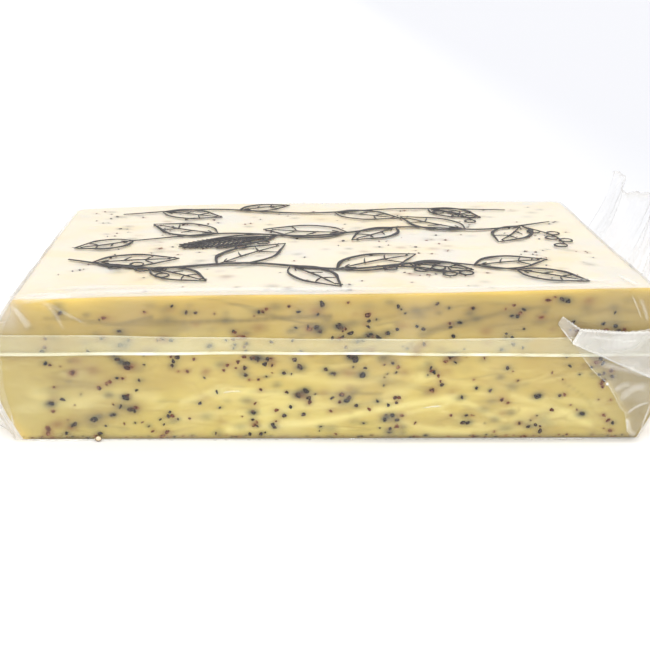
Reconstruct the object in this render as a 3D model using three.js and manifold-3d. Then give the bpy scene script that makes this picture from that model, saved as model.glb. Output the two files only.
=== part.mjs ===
// Half a block of peppered melting cheese in a clear film wrapper. Millimetres, +X along the cut face,
// +Y from the cut face to the back heel, +Z up, with the origin at the centre of the flat base.
import * as THREE from "three";
import { mergeVertices } from "three/addons/utils/BufferGeometryUtils.js";
import Module from "manifold-3d";

const wasm = await Module();
wasm.setup();

const { clamp, lerp, smoothstep } = THREE.MathUtils;

// Driving dimensions of the block
const CUT_LENGTH = 270; // of the cut face, between its top corners
const BLOCK_DEPTH = 161; // from the cut face to the back corners of the top
const HEIGHT_LEFT = 64; // the block is a little thinner at its left end
const HEIGHT_RIGHT = 70;
const HEEL_SWELL = 10; // how far the rind heels stand out beyond the top's edges
const TAPER_SHARE = 0.45; // share of the height over which a heel swells up from the base
const SHOULDER_SHARE = 0.36; // share of the height over which it draws in again below the top
const BACK_BOW = 6.5; // how far the back edge bows out between its corners
const CORNER_RADIUS = 5; // of the top's back corners
const CUT_EDGE_RADIUS = 1.2; // the knife leaves the edges of the cut face nearly sharp
const TOP_WAVE = 0.35; // unevenness of the top face
const TOP_RINGS = [0.96, 0.8, 0.55, 0.25]; // how far in the rings of places on the top face lie

// Pepper grains set in the cheese, cut open and a little proud
const GRAIN_LENGTH = 3.9; // of the largest, and the smallest is half as long
const GRAIN_PROUD = 0.5;
const GRAIN_DEPTH = 0.34; // half its thickness, as a share of its length
const GRAINS_ON = { cut: 150, top: 44, left: 20, right: 20, back: 38 };
const BESIDE = { across: 0.04, up: 0.14 }; // shares of a face within which a grain lies beside another
const FACE_MARGIN = 0.04; // share of a face that stays free of grains at each edge
const SEED = 20240;

// Clear film, drawn thicker than it is so that it makes a solid
const FILM_THICKNESS = 0.7;
const SEAM_GAP = 1.2; // from the cheese to the middle of the lap seam, over the grains
const TAIL_GAP = 2.3; // from the cheese to the middle of a folded tail, over the lap seam
const SEAM_WIDTH = 8.4;
const SEAM_HEIGHT = 40.6; // of the seam's lower edge above the base
const SEAM_REACH = 163; // along the wrap, each way from the middle of the cut face
const SEAM_SWAY = 0.4; // how far it wanders up and down
const SEAM_NARROWING = 1.1; // towards the middle of the cut face
const FLOOR_GAP = 0.5; // below the lowest edge of a tail

const HALF_LENGTH = CUT_LENGTH / 2;
const FRONT = -BLOCK_DEPTH / 2;
const BACK = BLOCK_DEPTH / 2;

// Height of the top face above the base
function topHeight(x, y) {
  const slope = lerp(HEIGHT_LEFT, HEIGHT_RIGHT, x / CUT_LENGTH + 0.5);
  return slope + TOP_WAVE * Math.sin(x / 31 + 0.6) * Math.cos(y / 27);
}

// How far a heel stands out, at a share of the height from 0 at the base to 1 at the top
function heelSwell(share) {
  const taper = Math.sin((Math.PI / 2) * Math.min(1, share / TAPER_SHARE));
  const shoulder = Math.sin((Math.PI / 2) * Math.min(1, (1 - share) / SHOULDER_SHARE));
  return HEEL_SWELL * taper * shoulder;
}

// How far the cut face is drawn in at its top and bottom edge
function cutInset(share, height) {
  const below = Math.min(share, 1 - share) * height;
  const inside = Math.max(0, 1 - below / CUT_EDGE_RADIUS);
  return CUT_EDGE_RADIUS * (1 - Math.sqrt(1 - inside ** 2));
}

// The path round one half of the block, from the middle of the cut face to the middle of the back, is
// measured along the top's outline. Just before the corner it stretches to reach the swell of the heel.
const BEND_LENGTH = 10;
const BEND_START = HALF_LENGTH - BEND_LENGTH;
const ARC_START = HALF_LENGTH + BLOCK_DEPTH - CORNER_RADIUS;
const ARC_END = ARC_START + (CORNER_RADIUS * Math.PI) / 2;
const PATH_END = ARC_END + HALF_LENGTH - CORNER_RADIUS;

// The share of a stretch that a distance has covered
function covered(from, to, distance) {
  return (distance - from) / (to - from);
}

// The place at a distance along that path, to the right where it is positive, at a gap off the cut face
// and further out by the swell at the heels
function wrapPlan(distance, swell, gap) {
  const side = Math.sign(distance) || 1;
  const far = Math.abs(distance);
  const out = swell + gap;
  if (far <= BEND_START) return new THREE.Vector2(side * far, FRONT - gap);
  if (far <= HALF_LENGTH) {
    const x = lerp(BEND_START, HALF_LENGTH + out, covered(BEND_START, HALF_LENGTH, far));
    return new THREE.Vector2(side * x, FRONT - gap);
  }
  if (far <= ARC_START) {
    const y = lerp(FRONT - gap, BACK - CORNER_RADIUS, covered(HALF_LENGTH, ARC_START, far));
    return new THREE.Vector2(side * (HALF_LENGTH + out), y);
  }
  const straight = HALF_LENGTH - CORNER_RADIUS;
  if (far <= ARC_END) {
    const turn = (covered(ARC_START, ARC_END, far) * Math.PI) / 2;
    const radius = CORNER_RADIUS + out;
    const x = straight + radius * Math.cos(turn);
    return new THREE.Vector2(side * x, BACK - CORNER_RADIUS + radius * Math.sin(turn));
  }
  const left = Math.max(0, 1 - covered(ARC_END, PATH_END, far));
  return new THREE.Vector2(side * left * straight, BACK + out + BACK_BOW * (1 - left ** 2));
}

// A place on the wrap at a distance along the path and a height over the base
function wrapPoint(distance, height, gap) {
  const flat = wrapPlan(distance, 0, gap);
  const share = clamp(height / topHeight(flat.x, flat.y), 0, 1);
  const plan = wrapPlan(distance, heelSwell(share), gap);
  return new THREE.Vector3(plan.x, plan.y, height);
}

// A repeatable random draw between 0 and 1
function drawer(seed) {
  let state = seed >>> 0;
  return () => {
    state = (Math.imul(state, 1664525) + 1013904223) >>> 0;
    return state / 4294967296;
  };
}

function solidOf(geometry) {
  const bare = geometry.clone();
  bare.deleteAttribute("normal");
  bare.deleteAttribute("uv");
  const merged = mergeVertices(bare, 1e-4);
  return new wasm.Manifold(
    new wasm.Mesh({
      numProp: 3,
      vertProperties: new Float32Array(merged.attributes.position.array),
      triVerts: new Uint32Array(merged.index.array),
    }),
  );
}

function geometryOf(solid) {
  const mesh = solid.getMesh();
  const places = new Float32Array(mesh.numVert * 3);
  for (let i = 0; i < mesh.numVert; i++) {
    places.set(mesh.vertProperties.subarray(i * mesh.numProp, i * mesh.numProp + 3), i * 3);
  }
  const geometry = new THREE.BufferGeometry();
  geometry.setAttribute("position", new THREE.BufferAttribute(places, 3));
  geometry.setIndex(new THREE.BufferAttribute(new Uint32Array(mesh.triVerts), 1));
  geometry.computeVertexNormals();
  return geometry;
}

function meshOf(name, geometry, look) {
  const mesh = new THREE.Mesh(geometry, new THREE.MeshStandardMaterial(look));
  mesh.name = name;
  return mesh;
}

// Joins rings of equally many places, from the first to the last, and closes both ends with a fan
function ringsGeometry(rings, firstCentre, lastCentre) {
  const around = rings[0].length;
  const places = rings.flat().concat(firstCentre, lastCentre);
  const [first, last] = [places.length - 2, places.length - 1];
  const top = (rings.length - 1) * around;
  const faces = [];
  for (let i = 0; i < around; i++) {
    const next = (i + 1) % around;
    faces.push(first, next, i, last, top + i, top + next);
    for (let k = 0; k < rings.length - 1; k++) {
      const [low, high] = [k * around, (k + 1) * around];
      faces.push(low + i, low + next, high + next, low + i, high + next, high + i);
    }
  }
  const geometry = new THREE.BufferGeometry().setFromPoints(places);
  geometry.setIndex(faces);
  return geometry;
}

// Distances from one place on the path to another, in equal steps, without the last
function steps(from, to, count) {
  return Array.from({ length: count }, (_, k) => lerp(from, to, k / count));
}

// Places round the block at one share of the height, from the middle of the cut face round by the right
function blockRing(share) {
  const inset = cutInset(share, (HEIGHT_LEFT + HEIGHT_RIGHT) / 2);
  const half = [
    ...steps(0, BEND_START, 9),
    ...steps(BEND_START, HALF_LENGTH, 2),
    ...steps(HALF_LENGTH, ARC_START, 11),
    ...steps(ARC_START, ARC_END, 5),
    ...steps(ARC_END, PATH_END, 8),
  ];
  const mirrored = half.slice(1).reverse().map((far) => -far);
  return [...half, PATH_END, ...mirrored].map((distance) => {
    const plan = wrapPlan(distance, heelSwell(share), 0);
    const y = Math.abs(distance) <= HALF_LENGTH ? plan.y + inset : plan.y;
    return new THREE.Vector3(plan.x, y, share * topHeight(plan.x, y));
  });
}

function blockGeometry() {
  const levels = 13;
  const rings = [];
  for (let k = 0; k <= levels; k++) rings.push(blockRing(0.5 - 0.5 * Math.cos((Math.PI * k) / levels)));
  const rim = rings[levels];
  for (const shrink of TOP_RINGS) {
    rings.push(
      rim.map((p) => new THREE.Vector3(p.x * shrink, p.y * shrink, topHeight(p.x * shrink, p.y * shrink))),
    );
  }
  return ringsGeometry(rings, new THREE.Vector3(0, 0, 0), new THREE.Vector3(0, 0, topHeight(0, 0)));
}

// The block's surface under a pair of numbers between 0 and 1, for one of its faces
function surfacePoint(face, across, up) {
  const along = lerp(FACE_MARGIN, 1 - FACE_MARGIN, across);
  const share = lerp(FACE_MARGIN, 1 - FACE_MARGIN, up);
  if (face === "top") {
    const x = lerp(-HALF_LENGTH, HALF_LENGTH, along);
    const y = lerp(FRONT, BACK, share);
    return new THREE.Vector3(x, y, topHeight(x, y));
  }
  const path = {
    cut: lerp(-HALF_LENGTH, HALF_LENGTH, along),
    right: lerp(HALF_LENGTH, ARC_START, along),
    left: -lerp(HALF_LENGTH, ARC_START, along),
    back: lerp(ARC_END, 2 * PATH_END - ARC_END, along),
  }[face];
  const plan = wrapPlan(path > PATH_END ? path - 2 * PATH_END : path, heelSwell(share), 0);
  return new THREE.Vector3(plan.x, plan.y, share * topHeight(plan.x, plan.y));
}

// A cracked grain is a squashed, stretched and skewed lump with twenty sides, most of it under the surface
function grainSolid(place, outward, size, draw) {
  const lump = new THREE.IcosahedronGeometry(1, 0);
  const stretch = lerp(0.62, 0.95, draw());
  const proud = GRAIN_PROUD * lerp(0.7, 1, draw());
  const depth = size * GRAIN_DEPTH;
  const spin = new THREE.Matrix4().makeRotationZ(draw() * Math.PI * 2);
  const tumble = new THREE.Matrix4().makeRotationX(draw() * Math.PI);
  const shape = new THREE.Matrix4().makeScale(size / 2, (size / 2) * stretch, depth);
  const turn = new THREE.Quaternion().setFromUnitVectors(new THREE.Vector3(0, 0, 1), outward);
  const settle = new THREE.Matrix4().compose(
    place.clone().addScaledVector(outward, proud - depth),
    turn,
    new THREE.Vector3(1, 1, 1),
  );
  lump.applyMatrix4(settle.multiply(spin).multiply(shape).multiply(tumble));
  return solidOf(lump);
}

// The grains of one face lie at random, every third one beside the grain before it, with the largest first
function faceGrains(face, count, draw) {
  const grains = [];
  const step = 1e-3;
  let [across, up] = [0, 0];
  for (let k = 0; k < count; k++) {
    const beside = k % 3 === 2;
    across = beside ? clamp(across + BESIDE.across * (draw() - 0.5), 0, 1) : draw();
    up = beside ? clamp(up + BESIDE.up * (draw() - 0.5), 0, 1) : draw();
    const size = GRAIN_LENGTH * (1 - 0.5 * Math.sqrt(k / count));
    const place = surfacePoint(face, across, up);
    const alongFace = surfacePoint(face, across + step, up).sub(place);
    const upFace = surfacePoint(face, across, up + step).sub(place);
    const outward = alongFace.cross(upFace).normalize();
    if (face === "left") outward.negate();
    grains.push(grainSolid(place, outward, size, draw));
  }
  return grains;
}

function cheeseGeometry() {
  const draw = drawer(SEED);
  let solid = solidOf(blockGeometry());
  for (const [face, count] of Object.entries(GRAINS_ON)) {
    for (const grain of faceGrains(face, count, draw)) solid = solid.add(grain);
  }
  return geometryOf(solid);
}

// A thin closed sheet about a grid of places, with both of its faces split into triangles alike
function sheetGeometry(grid) {
  const [rows, columns] = [grid.length, grid[0].length];
  const at = (i, j) => grid[clamp(i, 0, rows - 1)][clamp(j, 0, columns - 1)];
  const places = [];
  for (const side of [0.5, -0.5]) {
    for (let i = 0; i < rows; i++) {
      for (let j = 0; j < columns; j++) {
        const along = at(i, j + 1).clone().sub(at(i, j - 1));
        const up = at(i + 1, j).clone().sub(at(i - 1, j));
        const outward = along.cross(up).normalize();
        places.push(at(i, j).clone().addScaledVector(outward, side * FILM_THICKNESS));
      }
    }
  }
  const under = rows * columns;
  const faces = [];
  const quad = (a, b, c, d) => faces.push(a, b, c, a, c, d);
  for (let i = 0; i < rows - 1; i++) {
    for (let j = 0; j < columns - 1; j++) {
      const a = i * columns + j;
      faces.push(a, a + 1, a + columns + 1, a, a + columns + 1, a + columns);
      faces.push(under + a, under + a + columns + 1, under + a + 1);
      faces.push(under + a, under + a + columns, under + a + columns + 1);
    }
  }
  for (let j = 0; j < columns - 1; j++) {
    const top = (rows - 1) * columns + j;
    quad(j + 1, j, under + j, under + j + 1);
    quad(top, top + 1, under + top + 1, under + top);
  }
  for (let i = 0; i < rows - 1; i++) {
    const a = i * columns;
    const b = a + columns - 1;
    quad(a, a + columns, under + a + columns, under + a);
    quad(b + columns, b, under + b, under + b + columns);
  }
  const geometry = new THREE.BufferGeometry().setFromPoints(places);
  geometry.setIndex(faces);
  return geometry;
}

// The value at x on straight lines through a few named places
function along(places, x) {
  let k = 1;
  while (k < places.length - 1 && places[k][0] < x) k++;
  const [[x0, y0], [x1, y1]] = [places[k - 1], places[k]];
  return lerp(y0, y1, clamp((x - x0) / (x1 - x0), 0, 1));
}

// The film tube's lap seam, a slightly wavy flat band along the cut face that turns onto both heels
function seamGeometry() {
  const half = [...steps(0, HALF_LENGTH, 22), ...steps(HALF_LENGTH, SEAM_REACH, 6), SEAM_REACH];
  const path = [...half.slice(1).reverse().map((far) => -far), ...half];
  const rows = 2;
  const grid = [];
  for (let i = 0; i <= rows; i++) {
    grid.push(
      path.map((distance) => {
        const low = SEAM_HEIGHT + SEAM_SWAY * Math.sin(distance / 38 + 2.2);
        const width = SEAM_WIDTH - SEAM_NARROWING * Math.cos(distance / 46);
        return wrapPoint(distance, low + (width * i) / rows, SEAM_GAP);
      }),
    );
  }
  return sheetGeometry(grid);
}

// Right tail of the tube, folded up against the heel: its ear lies on the cut face and its back part flares
const EAR_TIP = 94.3; // along the wrap from the middle of the cut face
const RIGHT_TAIL_END = ARC_START + 2;
const EAR_LOW_EDGE = [
  [EAR_TIP, 54.8],
  [101.2, 46.6],
  [110.8, 34.5],
  [117.7, 28.4],
  [122.5, 21.2],
  [126.5, 13.5],
  [128.2, 4.7],
  [131, 1],
  [132, 9],
  [133, 21],
  [141, 17],
  [190, 13],
  [RIGHT_TAIL_END, 16],
];
const EAR_HIGH_EDGE = [
  [EAR_TIP, 55.6],
  [96, 58.6],
  [99, 56.4],
  [104.1, 53.1],
  [113.3, 52.2],
  [124.2, 51.7],
  [129.5, 53],
  [136, 52.4],
  [180, 58],
  [RIGHT_TAIL_END, 60],
];
const FLARE = {
  start: 175,
  full: 222,
  foot: 0.45,
  rise: 27,
  lean: 20,
  wave: 3.2,
  waveRise: 0.6,
  waveLength: 7.3,
};

function rightTailGeometry() {
  const path = [
    ...steps(EAR_TIP, 96, 1),
    ...steps(96, 130, 9),
    ...steps(130, HALF_LENGTH, 5),
    ...steps(HALF_LENGTH, RIGHT_TAIL_END, 32),
    RIGHT_TAIL_END,
  ];
  const rows = 8;
  const grid = [];
  for (let i = 0; i <= rows; i++) {
    const up = i / rows;
    grid.push(
      path.map((distance) => {
        const height = lerp(along(EAR_LOW_EDGE, distance), along(EAR_HIGH_EDGE, distance), up);
        const place = wrapPoint(distance, height, TAIL_GAP);
        const free = smoothstep(distance, FLARE.start, FLARE.full) * smoothstep(up, FLARE.foot, 1);
        const wave = FLARE.wave * Math.sin(distance / FLARE.waveLength) * free;
        place.x += FLARE.lean * free + wave;
        place.z += FLARE.rise * free + FLARE.waveRise * wave;
        return place;
      }),
    );
  }
  return sheetGeometry(grid);
}

// Left tail, folded down against the heel, with its end standing off on the surface below
const LEFT_TAIL_END = ARC_START + 2;
const LEFT_TAIL_FOLD = HALF_LENGTH - 3;
const LEFT_TAIL_HEIGHT = 57;
const LEFT_TAIL_SWAY = 2; // how far its upper edge wanders up and down
const SKIRT = { start: 136, full: 152, top: 0.55, lean: 11, wave: 2.4, waveLength: 8.1 };

function leftTailGeometry() {
  const path = [
    LEFT_TAIL_END,
    ...steps(HALF_LENGTH, LEFT_TAIL_END, 34).reverse(),
    LEFT_TAIL_FOLD,
  ];
  const rows = 8;
  const grid = [];
  for (let i = 0; i <= rows; i++) {
    const up = i / rows;
    grid.push(
      path.map((far) => {
        const high = LEFT_TAIL_HEIGHT + LEFT_TAIL_SWAY * Math.sin(far / 13);
        const height = lerp(FLOOR_GAP + FILM_THICKNESS / 2, high, up);
        const place = wrapPoint(-far, height, TAIL_GAP);
        const free = smoothstep(far, SKIRT.start, SKIRT.full) * (1 - smoothstep(up, 0, SKIRT.top));
        place.x -= (SKIRT.lean + SKIRT.wave * Math.sin(far / SKIRT.waveLength)) * free;
        return place;
      }),
    );
  }
  return sheetGeometry(grid);
}

const CHEESE_LOOK = { color: 0xdccb87, roughness: 0.45, metalness: 0 };
const FILM_LOOK = { color: 0xf0ede2, roughness: 0.2, metalness: 0, transparent: true, opacity: 0.4 };

const wrappedCheese = new THREE.Group();
wrappedCheese.add(
  meshOf("cheese", cheeseGeometry(), CHEESE_LOOK),
  meshOf("film_seam", seamGeometry(), FILM_LOOK),
  meshOf("film_tail_right", rightTailGeometry(), FILM_LOOK),
  meshOf("film_tail_left", leftTailGeometry(), FILM_LOOK),
);

export default wrappedCheese;
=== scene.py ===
import math

import bmesh
import bpy
import numpy as np
from mathutils import Euler, Matrix, Vector


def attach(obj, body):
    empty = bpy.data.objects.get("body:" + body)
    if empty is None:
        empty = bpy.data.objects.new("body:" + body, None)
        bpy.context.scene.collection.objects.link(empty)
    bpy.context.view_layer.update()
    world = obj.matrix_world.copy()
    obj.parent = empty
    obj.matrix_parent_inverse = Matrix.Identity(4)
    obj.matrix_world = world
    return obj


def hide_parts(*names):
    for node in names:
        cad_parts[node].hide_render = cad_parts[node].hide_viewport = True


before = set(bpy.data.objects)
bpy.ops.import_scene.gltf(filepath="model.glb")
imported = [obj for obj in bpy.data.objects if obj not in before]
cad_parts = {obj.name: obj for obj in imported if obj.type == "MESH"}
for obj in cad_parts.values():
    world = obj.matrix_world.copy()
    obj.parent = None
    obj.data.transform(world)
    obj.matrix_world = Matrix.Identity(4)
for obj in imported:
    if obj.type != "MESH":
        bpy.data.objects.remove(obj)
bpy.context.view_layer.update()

MM = 0.001

# Driving dimensions of the block, in millimetres, as the solids have them
CUT_LENGTH = 270.0
BLOCK_DEPTH = 161.0
HEIGHT_LEFT = 64.0
HEIGHT_RIGHT = 70.0
HEEL_SWELL = 10.0
TAPER_SHARE = 0.45
SHOULDER_SHARE = 0.36
BACK_BOW = 6.5
CORNER_RADIUS = 5.0
CUT_EDGE_RADIUS = 1.2
TOP_WAVE = 0.35
BEND_LENGTH = 10.0
MEAN_HEIGHT = (HEIGHT_LEFT + HEIGHT_RIGHT) / 2
HALF_LENGTH = CUT_LENGTH / 2
FRONT = -BLOCK_DEPTH / 2
BACK = BLOCK_DEPTH / 2

# Marks on the path round one half of the block, from the middle of the cut face to the middle of the back
BEND_START = HALF_LENGTH - BEND_LENGTH
ARC_START = HALF_LENGTH + BLOCK_DEPTH - CORNER_RADIUS
ARC_END = ARC_START + CORNER_RADIUS * math.pi / 2
PATH_END = ARC_END + HALF_LENGTH - CORNER_RADIUS

# Grains of pepper, as the solids have them
GRAIN_LENGTH = 3.9
GRAIN_PROUD = 0.5
BESIDE_ACROSS = 0.04
BESIDE_UP = 0.14
FACE_MARGIN = 0.04
GRAINS_ON = {"cut": 150, "top": 44, "left": 20, "right": 20, "back": 38}
SEED = 20240

# How large the solids' grains are drawn, then the finer chips and the grains sunk under the surface
LARGE_GRAIN_SCALE = {"cut": 0.95, "top": 0.7, "left": 0.8, "right": 0.8, "back": 0.8}
FINE_GRAINS_ON = {"cut": 230, "top": 150, "left": 50, "right": 50, "back": 90}
SUNK_GRAINS_ON = {"cut": 170, "top": 150, "left": 40, "right": 40, "back": 70}
FOOT_CHIPS = 120

# How far the film's layers stand off the cheese
SKIN_GAP = 0.75
SEAM_GAP = 1.3
TAIL_GAP = 2.3
LAYER_GAP = 3.0
OVER_SKIN = SKIN_GAP + 0.35
OVER_LAYER = LAYER_GAP + 1.3
OVER_TAIL = TAIL_GAP + 1.0
FLOOR_GAP = 0.5


def lerp(a, b, t):
    return a + (b - a) * t


def bell(x, centre, width):
    return np.exp(-(((x - centre) / width) ** 2))


def smoothstep(x, low, high):
    t = np.clip((x - low) / (high - low), 0, 1)
    return t * t * (3 - 2 * t)


def along(places, distance):
    """The height of an outline, given as (distance, height) places, at distances along it."""
    return np.interp(distance, [p[0] for p in places], [p[1] for p in places])


def zigzag(turns):
    """A wave of straight slopes between -0.5 and 0.5."""
    return np.abs(turns % 1 * 2 - 1) - 0.5


# Shape of the block

def top_height(x, y):
    slope = lerp(HEIGHT_LEFT, HEIGHT_RIGHT, x / CUT_LENGTH + 0.5)
    return slope + TOP_WAVE * np.sin(x / 31 + 0.6) * np.cos(y / 27)


def heel_swell(share):
    """How far a heel stands out, at a share of the height from 0 at the base to 1 at the top."""
    taper = np.sin(math.pi / 2 * np.minimum(1, share / TAPER_SHARE))
    shoulder = np.sin(math.pi / 2 * np.minimum(1, (1 - share) / SHOULDER_SHARE))
    return HEEL_SWELL * taper * shoulder


def cut_inset(share):
    """How far the cut face is drawn in along its top and bottom edge."""
    below = np.minimum(share, 1 - share) * MEAN_HEIGHT
    inside = np.maximum(0, 1 - below / CUT_EDGE_RADIUS)
    return CUT_EDGE_RADIUS * (1 - np.sqrt(np.maximum(0, 1 - inside**2)))


def wrap_plan(distance, swell, gap):
    """The plan place at a distance along the block's outline, from the middle of the cut face."""
    side = np.where(distance < 0, -1.0, 1.0)
    far = np.abs(distance)
    out = swell + gap
    bend = (far - BEND_START) / BEND_LENGTH
    heel = (far - HALF_LENGTH) / (ARC_START - HALF_LENGTH)
    turn = (far - ARC_START) / (ARC_END - ARC_START) * math.pi / 2
    left = np.maximum(0, 1 - (far - ARC_END) / (PATH_END - ARC_END))
    straight = HALF_LENGTH - CORNER_RADIUS
    radius = CORNER_RADIUS + out
    where = [far <= BEND_START, far <= HALF_LENGTH, far <= ARC_START, far <= ARC_END]
    cut = FRONT - gap + 0 * far
    x = np.select(where, [
        far,
        lerp(BEND_START, HALF_LENGTH + out, bend),
        HALF_LENGTH + out,
        straight + radius * np.cos(turn),
    ], left * straight)
    y = np.select(where, [
        cut,
        cut,
        lerp(cut, BACK - CORNER_RADIUS, heel),
        BACK - CORNER_RADIUS + radius * np.sin(turn),
    ], BACK + out + BACK_BOW * (1 - left**2))
    return side * x, y


def wrap_point(distance, height, gap):
    """Places on the wrap, at distances along the outline and heights over the base."""
    distance, height = np.broadcast_arrays(np.asarray(distance, float), np.asarray(height, float))
    flat_x, flat_y = wrap_plan(distance, 0.0 * distance, gap)
    share = np.clip(height / top_height(flat_x, flat_y), 0, 1)
    x, y = wrap_plan(distance, heel_swell(share), gap)
    return np.stack([x, y, height], -1)


def on_top(x, y, gap):
    """Places at a gap over the top face."""
    return np.stack([x, y, top_height(x, y) + gap], -1)


def ripple(places, length, seed, waves=9):
    """Smooth uneven values between about -1 and 1, with features of a length."""
    draw = np.random.default_rng(seed)
    total = np.zeros(places.shape[:-1])
    for _ in range(waves):
        direction = draw.normal(size=places.shape[-1])
        direction /= np.linalg.norm(direction)
        period = length * draw.uniform(0.7, 1.6)
        total += np.sin(places @ direction * (2 * math.pi / period) + draw.uniform(0, 2 * math.pi))
    return total / math.sqrt(waves * 0.9)


# Meshes

def mesh_piece(name, places, faces, material, replaces, attributes=None, smooth=True):
    """A mesh object from places in millimetres, riding with the block."""
    mesh = bpy.data.meshes.new(name)
    mesh.from_pydata((np.asarray(places, float) * MM).tolist(), [], faces)
    mesh.validate()
    for key, values in (attributes or {}).items():
        layer = mesh.attributes.new(key, "FLOAT", "POINT")
        layer.data.foreach_set("value", np.asarray(values, np.float32))
    mesh.polygons.foreach_set("use_smooth", [smooth] * len(mesh.polygons))
    shape = bmesh.new()
    shape.from_mesh(mesh)
    bmesh.ops.recalc_face_normals(shape, faces=shape.faces)
    shape.to_mesh(mesh)
    shape.free()
    piece = bpy.data.objects.new(name, mesh)
    bpy.context.scene.collection.objects.link(piece)
    piece.data.materials.append(material)
    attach(piece, "root")
    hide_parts(replaces)
    return piece


def ring_faces(rings, around):
    """Faces between closed rings of places, with a fan to one centre before them and one after them."""
    first, last = rings * around, rings * around + 1
    top = (rings - 1) * around
    faces = []
    for i in range(around):
        after = (i + 1) % around
        faces.append((first, after, i))
        faces.append((last, top + i, top + after))
    for k in range(rings - 1):
        low, high = k * around, (k + 1) * around
        for i in range(around):
            after = (i + 1) % around
            faces.append((low + i, low + after, high + after, high + i))
    return faces


def loft_faces(around, columns, start=0):
    """Faces of a closed section carried along a path, with flat ends: a row of places for each corner."""
    faces = []
    for i in range(around):
        after = (i + 1) % around
        for j in range(columns - 1):
            a, b = start + i * columns + j, start + after * columns + j
            faces.append((a, a + 1, b + 1, b))
    faces.append([start + i * columns for i in range(around)])
    faces.append([start + (i + 1) * columns - 1 for i in reversed(range(around))])
    return faces


def sheet_mesh(grid, thickness):
    """Places and faces of a thin closed sheet about a grid of places."""
    rows, columns = grid.shape[:2]
    outward = np.cross(np.gradient(grid, axis=1), np.gradient(grid, axis=0))
    outward /= np.maximum(np.linalg.norm(outward, axis=-1, keepdims=True), 1e-9)
    places = np.concatenate([
        (grid + outward * thickness / 2).reshape(-1, 3),
        (grid - outward * thickness / 2).reshape(-1, 3),
    ])
    under = rows * columns
    faces = []
    for i in range(rows - 1):
        for j in range(columns - 1):
            a = i * columns + j
            quad = (a, a + 1, a + columns + 1, a + columns)
            faces.append(quad)
            faces.append(tuple(under + k for k in reversed(quad)))
    border = (
        list(range(columns - 1))
        + [i * columns + columns - 1 for i in range(rows - 1)]
        + [(rows - 1) * columns + j for j in range(columns - 1, 0, -1)]
        + [i * columns for i in range(rows - 1, 0, -1)]
    )
    for k, a in enumerate(border):
        b = border[(k + 1) % len(border)]
        faces.append((b, a, under + a, under + b))
    return places, faces


# Node helpers

def new_material(name):
    material = bpy.data.materials.new(name)
    material.use_nodes = True
    material.node_tree.nodes.clear()
    return material, material.node_tree


def add(tree, kind, inputs=None, **settings):
    """A shader node with plain values or other nodes' outputs on its named inputs."""
    made = tree.nodes.new("ShaderNode" + kind)
    for key, value in settings.items():
        setattr(made, key, value)
    for key, value in (inputs or {}).items():
        socket = made.inputs[key]
        if isinstance(value, bpy.types.NodeSocket):
            tree.links.new(value, socket)
        else:
            socket.default_value = value
    return made


def noise_at(tree, vector, scale, stretch=(1, 1, 1), detail=3.0, distortion=0.0, shift=(0, 0, 0)):
    placed = add(tree, "Mapping", {"Vector": vector, "Scale": stretch, "Location": shift})
    inputs = {"Vector": placed.outputs[0], "Scale": scale, "Detail": detail, "Distortion": distortion}
    return add(tree, "TexNoise", inputs).outputs["Fac"]


def spread(tree, value, low, high, to_low=0.0, to_high=1.0):
    inputs = {"Value": value, "From Min": low, "From Max": high, "To Min": to_low, "To Max": to_high}
    return add(tree, "MapRange", inputs, interpolation_type="SMOOTHSTEP").outputs[0]


def maths(tree, operation, a, b=0.5, clamp=False):
    return add(tree, "Math", {0: a, 1: b}, operation=operation, use_clamp=clamp).outputs[0]


def times(tree, a, b, clamp=False):
    return maths(tree, "MULTIPLY", a, b, clamp)


def bumped(tree, height, strength, distance):
    return add(tree, "Bump", {"Strength": strength, "Distance": distance, "Height": height}).outputs[0]


def blend(tree, share, a, b):
    """One colour blended into another; the mix node's colour sockets are its seventh, eighth and third."""
    return add(tree, "Mix", {0: share, 6: a, 7: b}, data_type="RGBA").outputs[2]


def attribute(tree, name):
    return add(tree, "Attribute", attribute_name=name).outputs["Fac"]


def object_places(tree):
    return add(tree, "TexCoord").outputs["Object"]


def principled(tree, inputs):
    return add(tree, "BsdfPrincipled", inputs).outputs[0]


def over_clear(tree, share, shader):
    """A shader that shows by a share and is clear otherwise."""
    clear = add(tree, "BsdfTransparent").outputs[0]
    return add(tree, "MixShader", {0: share, 1: clear, 2: shader}).outputs[0]


def surface(tree, shader):
    add(tree, "OutputMaterial", {"Surface": shader})


# Materials

# From lemon at the foot to tan at the top of the cut face: partly painted shade
PASTE_LOW = (0.655, 0.535, 0.155, 1)
PASTE_MID = (0.61, 0.475, 0.14, 1)
PASTE_HIGH = (0.475, 0.335, 0.10, 1)
# Dark curd streaks, and also the painted shade of the shade mask
PASTE_DARK = (0.25, 0.185, 0.07, 1)
PASTE_PALE = (0.80, 0.70, 0.28, 1)
# Painted light: the yellow glow of light that comes through the block's thin rim
PASTE_RIM_GLOW = (0.88, 0.63, 0.13, 1)
RIND_SIDE = (0.56, 0.38, 0.11, 1)
RIND_SPOT = (0.40, 0.24, 0.07, 1)
RIND_TOP = (0.88, 0.79, 0.62, 1)
RIND_TOP_WARM = (0.88, 0.74, 0.48, 1)
RIND_TOP_COOL = (0.80, 0.76, 0.68, 1)
SUNK_GREY = (0.085, 0.08, 0.055, 1)
SUNK_WARM = (0.23, 0.085, 0.035, 1)
PEPPER_BLACK = [(0.021, 0.018, 0.015, 1), (0.052, 0.037, 0.027, 1), (0.15, 0.09, 0.055, 1)]
PEPPER_BROWN = [(0.05, 0.017, 0.010, 1), (0.19, 0.065, 0.03, 1), (0.34, 0.17, 0.08, 1)]
INK = [(0.045, 0.042, 0.045, 1), (0.13, 0.125, 0.125, 1)]
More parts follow.
